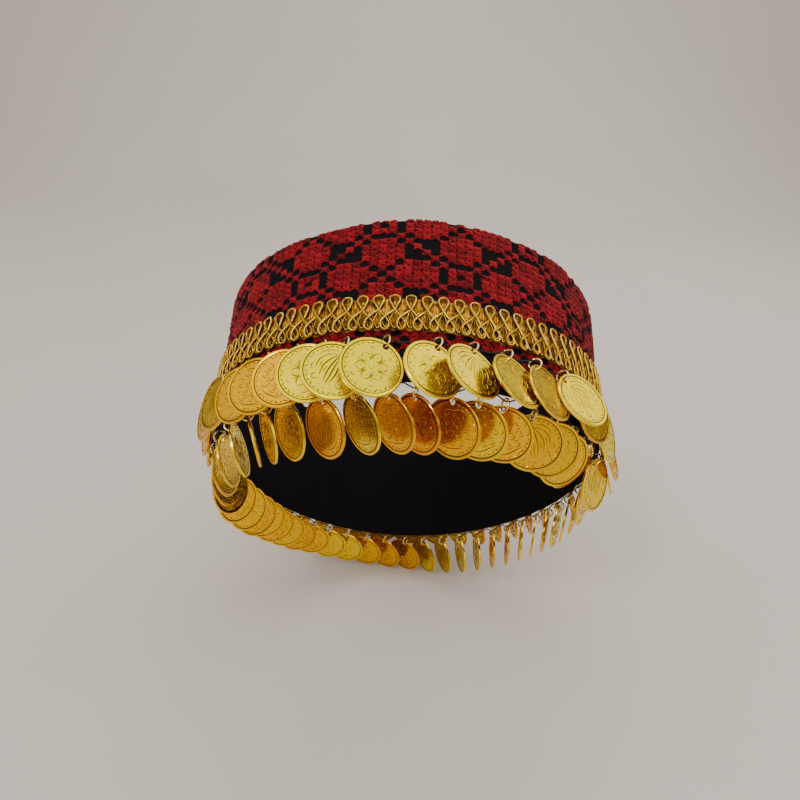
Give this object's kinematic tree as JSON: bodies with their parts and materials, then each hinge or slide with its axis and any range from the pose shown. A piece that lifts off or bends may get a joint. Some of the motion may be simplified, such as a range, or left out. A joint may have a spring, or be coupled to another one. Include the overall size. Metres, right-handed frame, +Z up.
{
  "type": "coin headband",
  "caption": "Embroidered cloth headband with a looped gilt braid and two rows of overlapping gilt coins on jump rings, in its worn shape.",
  "frame": {"origin": "middle of the loop at the height of the braid's top edge, inside the head's hollow", "axes": "+Z up as worn, the front and the tipped-up side of the loop face -Y, +X to the right seen from the front"},
  "size_m": [0.1814, 0.1703, 0.2216],
  "materials": {
    "cloth": "black cotton covered with red cross-stitch in a geometric repeat",
    "gilt_braid": "gimp braid of shiny gilt cord, looped and crossed",
    "thread": "matt black sewing thread",
    "gilt_ring": "bright gilt wire",
    "gilt_coin": "bright yellow gilt, struck relief with a raised rim"
  },
  "bodies": {
    "root": {"band": "cloth", "braid": "gilt_braid", "coin_thread_upper": "thread", "coin_thread_lower": "thread", "jump_rings_upper": "gilt_ring", "jump_rings_lower": "gilt_ring", "coins_upper": "gilt_coin", "coins_lower": "gilt_coin"}
  },
  "joints": []
}
